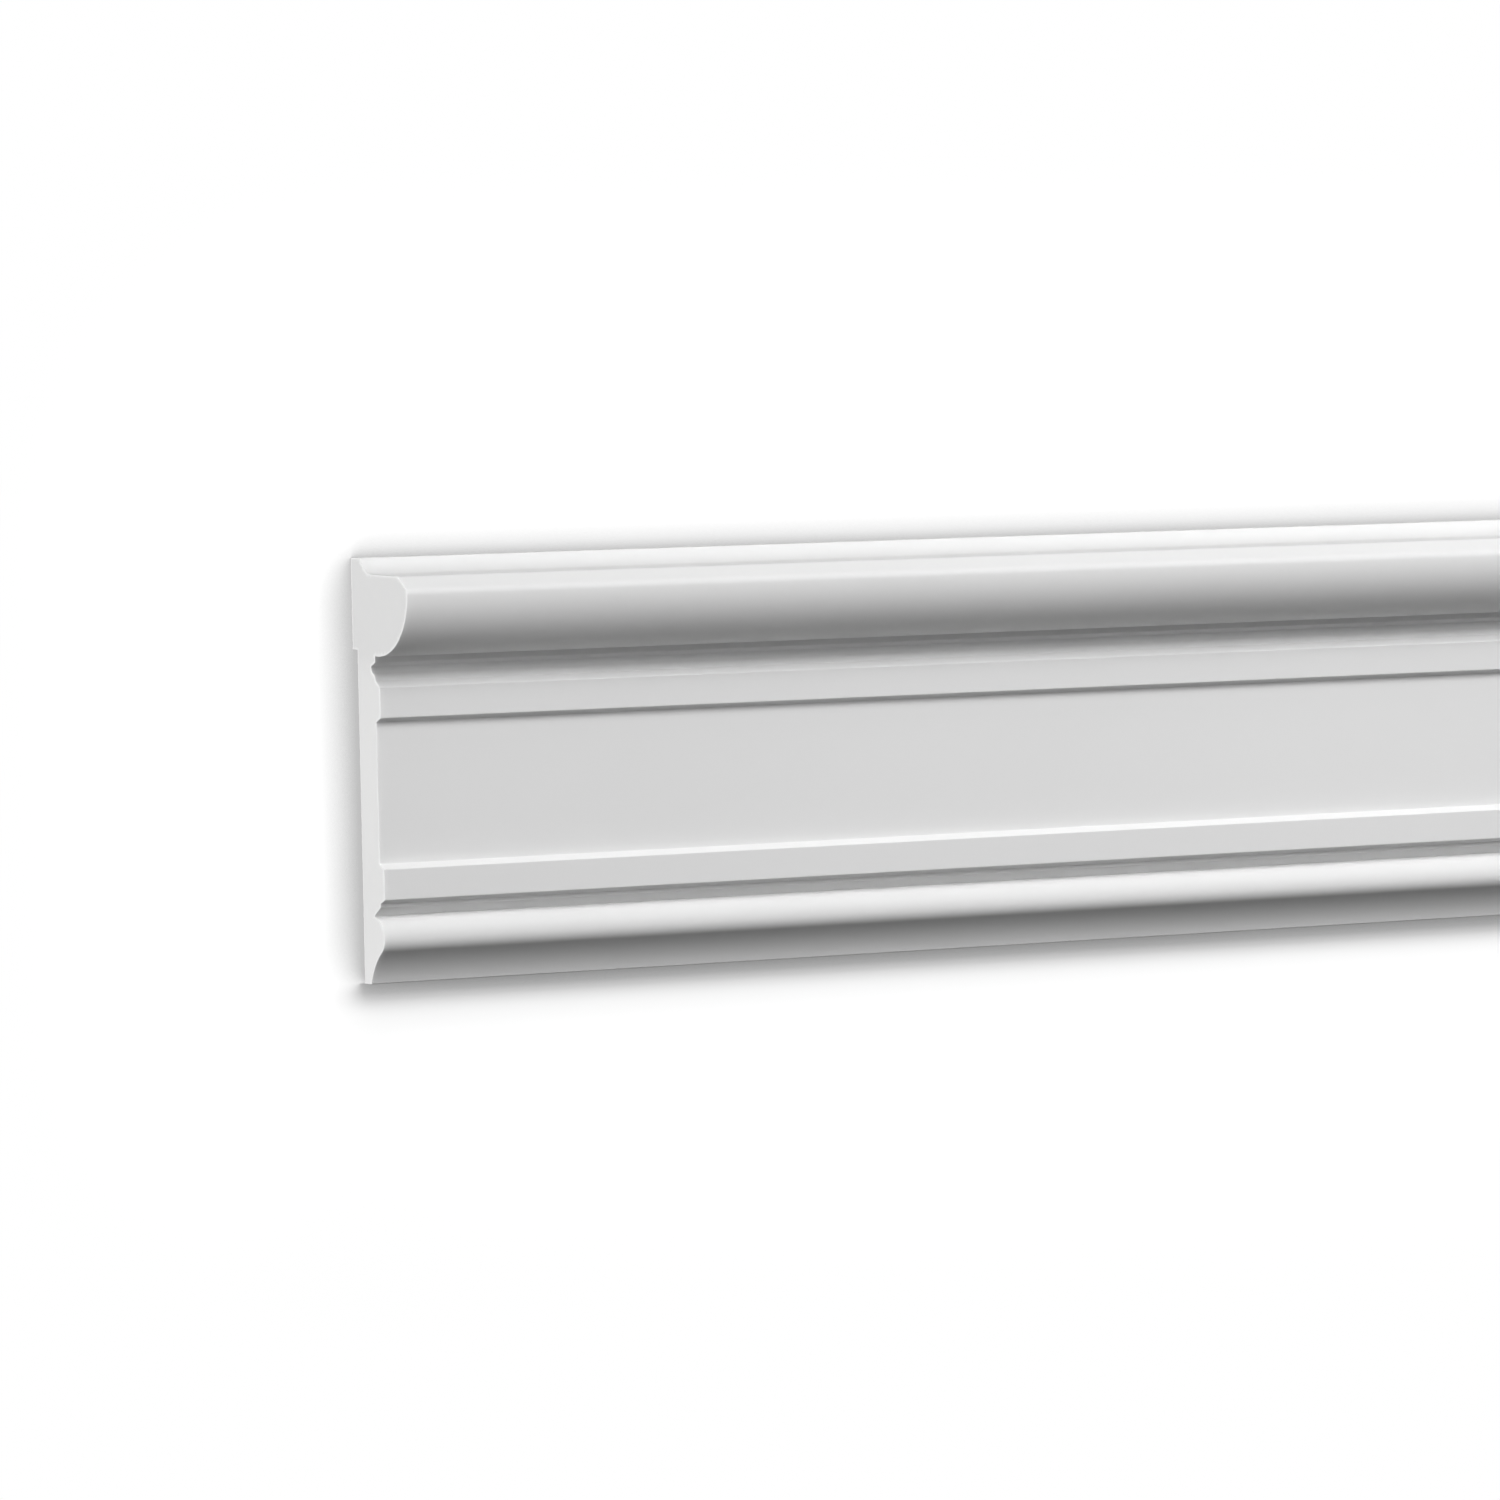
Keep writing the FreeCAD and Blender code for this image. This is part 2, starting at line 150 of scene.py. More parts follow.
class RailSection(bpy.types.PropertyGroup):
    """Sizes of the moulded section, named as on the part's drawing."""

    stock_length: length("Length", STOCK_LENGTH, "Length of one piece as sold")
    rail_width: length("Width", RAIL_WIDTH, "Top edge to bottom edge")
    projection: length("Projection", PROJECTION, "Wall to the nose of the roll")
    crown_thickness: length("Crown thickness", 5.7 * MM, "Wall to the front of the top edge")
    crown_cove_drop: length("Crown cove drop", 5.0 * MM, "Height of the cove above the shelf")
    crown_cove_depth: length("Crown cove depth", 6.5 * MM, "Depth of the cove above the shelf")
    crown_cove_radius: length("Crown cove radius", 8.2 * MM, "Hollow round of that cove")
    shelf_fall: length("Shelf fall", 0.5 * MM, "Fall of the shelf to its shoulder")
    weathering_drop: length("Weathering drop", 5.6 * MM, "Shoulder down to the nose")
    weathering_depth: length("Weathering depth", 5.6 * MM, "Nose back to the shoulder")
    nose_radius: length("Nose radius", 2.9 * MM, "Round between weathering and ovolo")
    ovolo_radius: length("Ovolo radius", 18.8 * MM, "Round under the nose")
    panel_projection: length("Panel projection", 14.0 * MM, "Wall to the frieze")
    roll_fillet_height: length("Roll fillet", 2.0 * MM, "Narrow fillet under the ovolo")
    roll_splay_drop: length("Roll splay", 1.2 * MM, "Splay from that fillet to the hollow")
    hollow_depth: length("Hollow depth", 2.7 * MM, "Hollow behind the frieze's face")
    hollow_drop: length("Hollow drop", 4.4 * MM, "Reversed curve out of the hollow")
    fascia_relief: length("Fascia relief", 2.6 * MM, "Fascias in front of the frieze")
    upper_bevel_drop: length("Upper bevel", 1.9 * MM, "Bevel above the upper fascia")
    upper_fascia_height: length("Upper fascia", 9.4 * MM, "Height of the upper fascia")
    upper_step_drop: length("Upper step", 1.2 * MM, "Splayed step into the frieze")
    lower_bevel_drop: length("Lower bevel", 1.6 * MM, "Bevel above the lower fascia")
    lower_fascia_height: length("Lower fascia", 9.4 * MM, "Height of the lower fascia")
    lower_step_drop: length("Lower step", 1.2 * MM, "Splayed step under the lower fascia")
    bead_fillet_height: length("Bead fillet", 1.1 * MM, "Narrow fillet above the bead")
    bead_splay_drop: length("Bead splay", 2.9 * MM, "Splay from that fillet to the quirk")
    bead_quirk_depth: length("Bead quirk", 4.3 * MM, "Quirk behind the frieze's face")
    bead_projection: length("Bead projection", 16.1 * MM, "Wall to the nose of the bead")
    bead_nose_height: length("Bead nose height", 13.9 * MM, "Bottom edge to the bead's nose")
    bead_top_radius: length("Bead top radius", 6.9 * MM, "Round from the quirk to the nose")
    bead_return_radius: length("Bead return radius", 4.9 * MM, "Round from the nose downwards")
    base_cove_radius: length("Base cove radius", 19.7 * MM, "Cove from the bead to the lip")
    lip_projection: length("Lip projection", 7.1 * MM, "Wall to the front of the lip")
    land_width: length("Land width", 28.0 * MM, "Part of the back that meets the wall")
    rebate_depth: length("Rebate depth", 3.0 * MM, "Rebate in the back below the land")
    arris_radius: length("Arris radius", 0.4 * MM, "Softened outward arrises")
    inner_radius: length("Inner radius", 0.2 * MM, "Paint that fills the inward corners")
    cut_radius: length("Cut radius", 0.1 * MM, "Broken arris around a cut end")


class RailFinish(bpy.types.PropertyGroup):
    """Colours and surface of the primer, the cut foam and the back."""

    primer_tone: tone("Primer", (0.83, 0.83, 0.83), "Factory-primed front")
    # The cut end is drawn paler where the section is thin and darker in the thick of the roll.
    foam_tone: tone("Foam", (0.78, 0.78, 0.777), "Dense foam of the thin parts where it is sawn")
    core_tone: tone("Foam core", (0.7, 0.7, 0.698), "More open foam in the thick of the roll")
    skin_tone: tone("Skin", (0.81, 0.81, 0.808), "Dense skin around a cut end")
    back_tone: tone("Back", (0.78, 0.78, 0.775), "Unprimed back")
    primer_roughness: share("Primer roughness", 0.6, "Matt sheen of the primer")
    primer_gloss: share("Primer gloss", 0.2, "Strength of the primer's reflections")
    foam_roughness: share("Foam roughness", 0.8, "Dull cut and back")
    skin_depth: length("Skin depth", 0.6 * MM, "How deep the dense skin goes in a cut end")
    speck_gap: length("Speck spacing", 5.0 * MM, "Usual distance between dust specks")
    speck_size: length("Speck size", 0.35 * MM, "Width of a dust speck in the primer")
    peel_size: length("Orange peel", 1.6 * MM, "Width of the ripples that spraying leaves")
    cell_size: length("Foam cells", 0.45 * MM, "Width of a foam cell in a cut end")


class StudioSetting(bpy.types.PropertyGroup):
    """Camera, table and lamps."""

    camera_place: FloatVectorProperty(
        name="Camera", description="Where the camera stands", size=3,
        default=(-2.31212, 0.12242, 2.41283), subtype="XYZ", unit="LENGTH")
    camera_target: FloatVectorProperty(
        name="Target", description="What the middle of the picture shows", size=3,
        default=(-0.86777, 0.00136, 0.014), subtype="XYZ", unit="LENGTH")
    camera_roll: FloatProperty(
        name="Roll", description="Turn of the camera about its view, clockwise",
        default=math.radians(1.2101), subtype="ANGLE", unit="ROTATION")
    focal_length: FloatProperty(
        name="Focal length", description="Lens on a 36 mm sensor", default=216.0, min=1.0,
        unit="CAMERA")
    table_size: length("Table size", 60.0, "Side of the square table top")
    ambient: FloatProperty(
        name="Ambient", description="Strength of the light from all round", default=0.02, min=0.0)
    # The table's contact shadow is partly painted shade: an ambient-occlusion node darkens the
    # table's colour near the rail and dims a glow on it that stands in for light from all round,
    # while the lit part keeps the lamps' own shadow. Above the rail and beside its ends the
    # painted glow takes most of it; below the rail the lamps' shadow shows more.
    contact_reach: length("Contact shadow", 17 * MM, "How far the dim rim round the rail reaches")
    # The least open share is the floor of that painted contact shade.
    least_open: share("Least open", 0.5, "Light that reaches the table right under the rail")
    open_side_glow_share: share("Open side share", 0.92, "The same part above the rail and beside its ends")
    painted_glow_share: share("Soft share", 0.4,
                      "Part of the table's light from all round, below the rail")
    table_gain: FloatProperty(
        name="Table gain", description="Lifts the lit table to white in the picture",
        default=1.35, min=0.0)
    table_glow: FloatProperty(
        name="Table glow", description="Strength of the table's light from all round",
        default=1.12, min=0.0)


# The lamps: which way each one lies from the rail, how far, how large and how strong.
LAMPS = [
    ("overhead_60", (0.0, 0.866, 0.5), 1.7, (2.8, 0.5), 6.0),
    ("overhead_45", (0.0, 0.707, 0.707), 1.7, (2.8, 0.5), 19.5),
    ("overhead_30", (0.0, 0.5, 0.866), 1.7, (2.8, 0.5), 11.5),
    ("front", (0.55, 0.643, 0.766), 3.0, (2.0, 0.7), 14.5),
    ("cut_end", (-0.98, 0.0, 0.12), 6.0, (1.5, 1.5), 245.0),
]


# ---- the section ----

def arc(centre, start, end, convex):
    """Points on a round from start to end. A convex round bulges away from the foam."""
    first = math.atan2(start.y - centre.y, start.x - centre.x)
    last = math.atan2(end.y - centre.y, end.x - centre.x)
    turn = (last - first) % math.tau if convex else -((first - last) % math.tau)
    radius = (start - centre).length
    step = 2 * math.acos(1 - ROUND_ERROR / radius)
    count = max(2, math.ceil(abs(turn) / step))
    return [centre + Vector((math.cos(a), math.sin(a))) * radius
            for a in (first + turn * k / count for k in range(count + 1))]


def crossing(one, one_radius, other, other_radius):
    """Where two circles cross, on the side away from the wall."""
    apart = other - one
    along = (one_radius ** 2 - other_radius ** 2 + apart.length_squared) / (2 * apart.length)
    aside = math.sqrt(one_radius ** 2 - along ** 2)
    unit = apart.normalized()
    return one + unit * along + Vector((-unit.y, unit.x)) * aside


def touching(start, centre, radius):
    """Where a straight line from the start touches a circle on the side away from the wall."""
    reach = centre - start
    aim = math.atan2(-reach.y, -reach.x) + math.acos(radius / reach.length)
    return centre + Vector((math.cos(aim), math.sin(aim))) * radius


class Outline:
    """The section from the top edge over the front to the bottom edge and up the back.
    Each run of points ends at a corner with a radius of its own, none where it runs on."""

    def __init__(self, start):
        self.runs = []
        self.at = start

    def line(self, point, corner):
        self.runs.append(([self.at, point], corner))
        self.at = point

    def round(self, centre, point, convex, corner):
        self.runs.append((arc(centre, self.at, point, convex), corner))
        self.at = point


def draw_section(s):
    """The outline of the rail's section, in metres, with the rail's Y across and its Z up."""
    outer, inner = s.arris_radius, s.inner_radius
    top, panel = s.rail_width / 2, s.panel_projection
    face = panel + s.fascia_relief
    outline = Outline(Vector((top, 0)))

    crown = Vector((top, s.crown_thickness))
    foot = crown + Vector((-s.crown_cove_drop, s.crown_cove_depth))
    shoulder = Vector((foot.x - s.shelf_fall, s.projection - s.weathering_depth))
    nose = Vector((shoulder.x - s.weathering_drop, s.projection))
    outline.line(crown, outer)
    outline.round(crossing(foot, s.crown_cove_radius, crown, s.crown_cove_radius), foot,
                  False, inner)
    outline.line(shoulder, outer)

    nose_centre = nose - Vector((0, s.nose_radius))
    roll_centre = nose - Vector((0, s.ovolo_radius))
    reach = math.sqrt(s.ovolo_radius ** 2 - (roll_centre.y - panel) ** 2)
    roll_end = Vector((nose.x - reach, panel))
    outline.line(touching(shoulder, nose_centre, s.nose_radius), 0)
    outline.round(nose_centre, nose, True, 0)
    outline.round(roll_centre, roll_end, True, inner)

    splay = roll_end - Vector((s.roll_fillet_height, 0))
    hollow = splay - Vector((s.roll_splay_drop, s.hollow_depth))
    hollow_end = Vector((hollow.x - s.hollow_drop, panel))
    reverse = (hollow + hollow_end) / 2
    sweep = (hollow_end - hollow).length_squared / (4 * s.hollow_depth)
    outline.line(splay, outer)
    outline.line(hollow, inner)
    outline.round(hollow + Vector((0, sweep)), reverse, False, 0)
    outline.round(hollow_end - Vector((0, sweep)), hollow_end, True, inner)

    upper = Vector((hollow_end.x - s.upper_bevel_drop, face))
    outline.line(upper, outer)
    upper = upper - Vector((s.upper_fascia_height, 0))
    outline.line(upper, outer)
    outline.line(Vector((upper.x - s.upper_step_drop, panel)), inner)

    bead_nose = Vector((s.bead_nose_height - top, s.bead_projection))
    bead_centre = bead_nose - Vector((0, s.bead_top_radius))
    quirk_depth = panel - s.bead_quirk_depth
    reach = math.sqrt(s.bead_top_radius ** 2 - (quirk_depth - bead_centre.y) ** 2)
    quirk = Vector((bead_centre.x + reach, quirk_depth))
    fillet_end = Vector((quirk.x + s.bead_splay_drop, panel))
    fillet_start = fillet_end + Vector((s.bead_fillet_height, 0))
    lower_end = Vector((fillet_start.x + s.lower_step_drop, face))
    lower_start = lower_end + Vector((s.lower_fascia_height, 0))
    outline.line(Vector((lower_start.x + s.lower_bevel_drop, panel)), inner)
    outline.line(lower_start, outer)
    outline.line(lower_end, outer)
    outline.line(fillet_start, inner)
    outline.line(fillet_end, outer)
    outline.line(quirk, inner)

    outline.round(bead_centre, bead_nose, True, 0)
    return_centre = bead_nose - Vector((0, s.bead_return_radius))
    lip = Vector((-top, s.lip_projection))
    cove_centre = crossing(lip, s.base_cove_radius, return_centre,
                           s.base_cove_radius + s.bead_return_radius)
    turn = return_centre + (cove_centre - return_centre).normalized() * s.bead_return_radius
    outline.round(return_centre, turn, True, 0)
    outline.round(cove_centre, lip, False, outer)

    step = top - s.land_width
    outline.line(Vector((-top, s.rebate_depth)), outer / 2)
    front_runs = len(outline.runs)
    outline.line(Vector((step, s.rebate_depth)), inner)
    outline.line(Vector((step, 0)), outer / 2)
    outline.line(Vector((top, 0)), outer / 2)
    return outline, front_runs


def trimmed(points, from_start, from_end):
    """A run of points cut short at both ends."""
    for reach in (from_start, from_end):
        points = list(points)
        while reach > 0 and len(points) > 2 and (points[1] - points[0]).length <= reach:
            reach -= (points[1] - points[0]).length
            points.pop(0)
        if reach > 0:
            points[0] = points[0] + (points[1] - points[0]).normalized() * reach
        points.reverse()
    return points


def corner_reach(radius, before, after):
    """How far from a corner its round begins."""
    turn = (before[-1] - before[-2]).angle(after[1] - after[0], 0)
    return radius * math.tan(turn / 2)


def corner_round(radius, here, corner, there):
    """The points of the round that softens a corner, without its two ends."""
    inward = ((here - corner).normalized() + (there - corner).normalized()).normalized()
    half = (here - corner).angle(there - corner) / 2
    centre = corner + inward * (radius / math.sin(half))
    first, last = here - centre, there - centre
    turn = first.angle_signed(last)
    count = max(2, math.ceil(abs(turn) / (2 * math.acos(1 - ROUND_ERROR / radius))))
    points = []
    for k in range(1, count):
        t = k / count
        arm = first.lerp(last, t)
        points.append(centre + arm.normalized() * (first.length * (1 - t) + last.length * t))
    return points


def soften(outline, front_runs):
    """The outline as one closed loop of points with every corner rounded, holding points at
    the ends of its straight runs, and whether each point begins a face of the front."""
    runs = outline.runs
    reaches = [corner_reach(corner, points, runs[(k + 1) % len(runs)][0]) if corner else 0
               for k, (points, corner) in enumerate(runs)]
    loop, front = [], []
    cut = [trimmed(points, reaches[k - 1], reaches[k]) for k, (points, corner) in enumerate(runs)]
    for k, points in enumerate(cut):
        corner = runs[k][1]
        if len(points) == 2 and (points[1] - points[0]).length > 3 * HOLDING_GAP:
            hold = (points[1] - points[0]).normalized() * HOLDING_GAP
            points = [points[0], points[0] + hold, points[1] - hold, points[1]]
        blend = []
        if corner:
            blend = corner_round(corner, points[-1], runs[k][0][-1], cut[(k + 1) % len(cut)][0])
        else:
            points = points[:-1]
        loop += points + blend
        front += [k < front_runs] * (len(points) + len(blend))
    return loop, front


def inset(loop, depth):
    """The closed loop moved into the foam."""
    moved = []
    for k, point in enumerate(loop):
        along = (loop[(k + 1) % len(loop)] - loop[k - 1]).normalized()
        moved.append(point + Vector((along.y, -along.x)) * -depth)
    return moved


# ---- meshes ----

def stations(total):
    """Places along the rail where the section is repeated, close together at the ends."""
    half = total / 2
    inner = half - END_STATION
    count = max(1, round(2 * inner / STATION_GAP))
    return [-inner + 2 * inner * k / count for k in range(count + 1)]


def edge_distance(points, loop):
    """The distance of each point from the closed loop, and whether it lies inside."""
    spots = np.array([tuple(p) for p in points])[:, None]
    start = np.array([tuple(p) for p in loop])
    end = np.roll(start, -1, axis=0)
    run = end - start
    share_along = np.clip(((spots - start) * run).sum(2) / (run ** 2).sum(1), 0, 1)
    near = np.linalg.norm(spots - start - share_along[..., None] * run, axis=2).min(1)
    above = (start[:, 1] > spots[..., 1]) != (end[:, 1] > spots[..., 1])
    rise = np.where(run[:, 1] == 0, 1, run[:, 1])
    left = spots[..., 0] < start[:, 0] + (spots[..., 1] - start[:, 1]) * run[:, 0] / rise
    return near, (above & left).sum(1) % 2 == 1


def cut_face(loop):
    """Triangles that fill a cut end, small enough to carry the foam's relief.
    Gives the points inside the loop, their distance from it, and the faces by index."""
    low = Vector((min(p.x for p in loop), min(p.y for p in loop)))
    high = Vector((max(p.x for p in loop), max(p.y for p in loop)))
    jitter = random.Random(7)
    spots = []
    rows = int((high.y - low.y) / (CELL_GAP * ROW_SHARE)) + 2
    columns = int((high.x - low.x) / CELL_GAP) + 2
    for row in range(rows):
        for column in range(columns):
            across = low.x + (column + 0.5 * (row % 2)) * CELL_GAP
            out = low.y + row * CELL_GAP * ROW_SHARE
            spots.append(Vector((
                across + jitter.uniform(-STRAY_SHARE, STRAY_SHARE) * CELL_GAP,
                out + jitter.uniform(-STRAY_SHARE, STRAY_SHARE) * CELL_GAP)))
    near, inside = edge_distance(spots, loop)
    clear = RIM_SHARE * CELL_GAP
    kept = [(p, d) for p, d, within in zip(spots, near, inside) if within and d > clear]
    points = list(loop) + [p for p, d in kept]
    rim = [(k, (k + 1) % len(loop)) for k in range(len(loop))]
    found = geometry.delaunay_2d_cdt(points, rim, [], 1, 1e-9)
    source = [ids[0] for ids in found[3]]
    faces = [tuple(source[k] for k in face) for face in found[2]]
    return [p for p, d in kept], [d for p, d in kept], faces


def section_thickness(loop):
    """Places across the section and how thick it is there, averaged over a thumb's width."""
    start = np.array([tuple(p) for p in loop])
    run = np.roll(start, -1, axis=0) - start
    along = np.linspace(0, 1, EDGE_POINTS)[:, None, None]
    across, out = (start + run * along).reshape(-1, 2).T
    places = np.linspace(across.min(), across.max(), THICKNESS_PLACES)
    rims = [out[np.abs(across - place) < EDGE_WINDOW] for place in places]
    depth = np.array([rim.max() - rim.min() for rim in rims])
    weight = np.exp(-((places[:, None] - places[None]) / THUMB) ** 2)
    return places, (weight * depth).sum(1) / weight.sum(1)


def thin_share(thickness, across):
    """One where the section is thin and its cut end drawn paler, none in the thick of the roll.
    """
    places, depths = thickness
    depth = np.interp(across, places, depths)
    return float(np.interp(depth, (THIN_PART, THICK_PART), (1, 0)))


def moulding_mesh(s, finish):
    """The whole rail as one closed mesh: swept sides, broken arrises and cut ends."""
    outline, front_runs = draw_section(s)
    loop, front = soften(outline, front_runs)
    size = len(loop)
    half = s.stock_length / 2
    r = s.cut_radius
    lip_angles = [math.pi / 2 * k / LIP_STEPS for k in range(LIP_STEPS + 1)]
    shoulders = [(r * (1 - math.cos(a)), half - r * (1 - math.sin(a))) for a in lip_angles]
    rings = [(-x, inset(loop, d)) for d, x in reversed(shoulders)]
    rings += [(x, loop) for x in stations(s.stock_length)]
    rings += [(x, inset(loop, d)) for d, x in shoulders]

    vertices = [(x, p.x, p.y) for x, ring in rings for p in ring]
    faces, slots = [], []
    for ring in range(len(rings) - 1):
        for k in range(size):
            near, far = ring * size, (ring + 1) * size
            after = (k + 1) % size
            faces.append((near + k, near + after, far + after, far + k))
            slots.append(0 if front[k] else 2)
    skin = [1.0] * len(vertices)
    thin = [0.0] * len(vertices)
    thickness = section_thickness(loop)

    for end, first in ((-1, 0), (1, (len(rings) - 1) * size)):
        inner_loop = rings[0][1]
        spots, depths, triangles = cut_face(inner_loop)
        start = len(vertices)
        for p, d in zip(spots, depths):
            relief = noise.noise(Vector((end * 3, p.x, p.y)) / RELIEF_WIDTH)
            sink = min(1.0, d / RELIEF_MARGIN) * RELIEF_DEPTH * (1 + relief)
            vertices.append((end * (half - sink), p.x, p.y))
            skin.append(max(0.0, 1 - d / finish.skin_depth))
            thin.append(thin_share(thickness, p.x))
        for triangle in triangles:
            ids = [first + k if k < size else start + k - size for k in triangle]
            faces.append(tuple(ids if end > 0 else reversed(ids)))
            slots.append(1)

    mesh = bpy.data.meshes.new("moulded_rail")
    mesh.from_pydata(vertices, [], faces)
    mesh.polygons.foreach_set("material_index", slots)
    mesh.polygons.foreach_set("use_smooth", [True] * len(faces))
    for name, values in (("skin", skin), ("thin_part", thin)):
        attribute = mesh.attributes.new(name, "FLOAT", "POINT")
        attribute.data.foreach_set("value", values)
    mesh.validate()
    mesh.update()
    return mesh


# ---- finishes ----

def new_group(name, inputs, outputs):
    """An empty shader node group with its sockets, and its input and output nodes."""
    group = bpy.data.node_groups.new(name, "ShaderNodeTree")
    for socket, kind, value in inputs:
        made = group.interface.new_socket(socket, in_out="INPUT", socket_type=kind)
        if value is not None:
            made.default_value = value
    for socket, kind in outputs:
        group.interface.new_socket(socket, in_out="OUTPUT", socket_type=kind)
    return group, group.nodes.new("NodeGroupInput"), group.nodes.new("NodeGroupOutput")


class Wiring:
    """Adds nodes to a tree and joins them."""

    def __init__(self, tree):
        self.tree = tree

    def node(self, kind, settings=None, **inputs):
        made = self.tree.nodes.new(kind)
        for key, value in (settings or {}).items():
            setattr(made, key, value)
        for key, value in inputs.items():
            self.feed(made, key.replace("_", " "), value)
        return made

    def feed(self, node, socket, value):
        target = node.inputs[int(socket)] if socket.isdigit() else node.inputs[socket]
        if isinstance(value, bpy.types.NodeSocket):
            self.tree.links.new(value, target)
        else:
            target.default_value = value

    def math(self, operation, first, second=0.0):
        made = self.tree.nodes.new("ShaderNodeMath")
        made.operation = operation
        self.feed(made, "0", first)
        self.feed(made, "1", second)
        return made.outputs[0]

    def blend(self, share_value, first, second):
        """A mix of two shaders."""
        made = self.node("ShaderNodeMixShader", Fac=share_value)
        self.tree.links.new(first, made.inputs[1])
        self.tree.links.new(second, made.inputs[2])
        return made.outputs[0]

    def mix(self, share_value, first, second):
        made = self.tree.nodes.new("ShaderNodeMix")
        made.data_type = "RGBA"
        for socket, value in ((0, share_value), (6, first), (7, second)):
            if isinstance(value, bpy.types.NodeSocket):
                self.tree.links.new(value, made.inputs[socket])
            else:
                made.inputs[socket].default_value = value
        return made.outputs[2]


def speck_group():
    """Dust specks or pores: small round spots, some of them missing."""
    group, given, result = new_group(
        "Dust specks",
        [("Spacing", "NodeSocketFloat", 5 * MM), ("Size", "NodeSocketFloat", 0.35 * MM),
         ("Amount", "NodeSocketFloat", 0.5)],
        [("Speck", "NodeSocketFloat")])
    w = Wiring(group)
    place = w.node("ShaderNodeTexCoord").outputs["Object"]
    per_metre = w.math("DIVIDE", 1.0, given.outputs["Spacing"])
    cells = w.node("ShaderNodeTexVoronoi", Vector=place, Scale=per_metre, Randomness=1.0)
    reach = w.math("MULTIPLY", cells.outputs["Distance"], given.outputs["Spacing"])
    edge = w.node("ShaderNodeMapRange", {"interpolation_type": "SMOOTHSTEP"}, Value=reach,
                  From_Min=w.math("MULTIPLY", given.outputs["Size"], 0.5), From_Max=0.0)
    lot = w.node("ShaderNodeSeparateColor", Color=cells.outputs["Color"]).outputs[0]
    there = w.math("LESS_THAN", lot, given.outputs["Amount"])
    w.feed(result, "Speck", w.math("MULTIPLY", edge.outputs[0], there))
    return group


def grain_group():
    """Foam grain: closed cells of mixed size, seen as a height and as a shade."""
    group, given, result = new_group(
        "Foam grain",
        [("Cell", "NodeSocketFloat", 0.45 * MM)],
        [("Height", "NodeSocketFloat"), ("Shade", "NodeSocketFloat")])
    w = Wiring(group)
    place = w.node("ShaderNodeTexCoord").outputs["Object"]
    per_metre = w.math("DIVIDE", 1.0, given.outputs["Cell"])
    cells = w.node("ShaderNodeTexVoronoi", {"feature": "SMOOTH_F1"}, Vector=place,
                   Scale=per_metre, Smoothness=0.4, Randomness=1.0)
    cloud = w.node("ShaderNodeTexNoise", Vector=place, Scale=w.math("MULTIPLY", per_metre, 0.12),
                   Detail=3.0, Roughness=0.55)
    w.feed(result, "Height", cells.outputs["Distance"])
    w.feed(result, "Shade", w.math("ADD", w.math("MULTIPLY", cells.outputs["Distance"], 0.35),
                                   w.math("MULTIPLY", cloud.outputs[0], 0.65)))
    return group


def new_material(name):
    """A material with nothing but a Principled BSDF and its output."""
    material = bpy.data.materials.new(name)
    material.use_nodes = True
    w = Wiring(material.node_tree)
    return material, w, material.node_tree.nodes["Principled BSDF"]


def rgba(colour, gain=1.0):
    return (colour[0] * gain, colour[1] * gain, colour[2] * gain, 1.0)


def primed_material(finish, specks):
    """Matt white primer: a faint ripple from spraying, and dust specks under the paint."""
    material, w, shader = new_material("primed_foam")
    place = w.node("ShaderNodeTexCoord").outputs["Object"]
    ripple = w.node("ShaderNodeTexNoise", Vector=place, Scale=1 / finish.peel_size, Detail=2.0,
                    Roughness=0.5).outputs[0]
    drift = w.node("ShaderNodeTexNoise", Vector=place, Scale=DRIFT_SCALE, Detail=3.0,
                   Roughness=0.6).outputs[0]
    speck = w.node("ShaderNodeGroup", {"node_tree": specks}, Spacing=finish.speck_gap,
                   Size=finish.speck_size, Amount=SPECK_AMOUNT).outputs["Speck"]
    shade = w.mix(drift, *(rgba(finish.primer_tone, gain) for gain in DRIFT_RANGE))
    w.feed(shader, "Base Color", w.mix(w.math("MULTIPLY", speck, SPECK_SHADE), shade,
                                       rgba(finish.primer_tone, SPECK_TONE)))
    spread = w.node("ShaderNodeMapRange", Value=ripple,
                    To_Min=finish.primer_roughness - ROUGHNESS_SPREAD,
                    To_Max=finish.primer_roughness + ROUGHNESS_SPREAD)
    w.feed(shader, "Roughness", spread.outputs[0])
    shader.inputs["Specular IOR Level"].default_value = finish.primer_gloss
    height = w.math("ADD", ripple, w.math("MULTIPLY", speck, SPECK_RISE))
    bump = w.node("ShaderNodeBump", Strength=0.5, Distance=PRIMER_BUMP, Height=height)
    w.feed(shader, "Normal", bump.outputs[0])
    return material


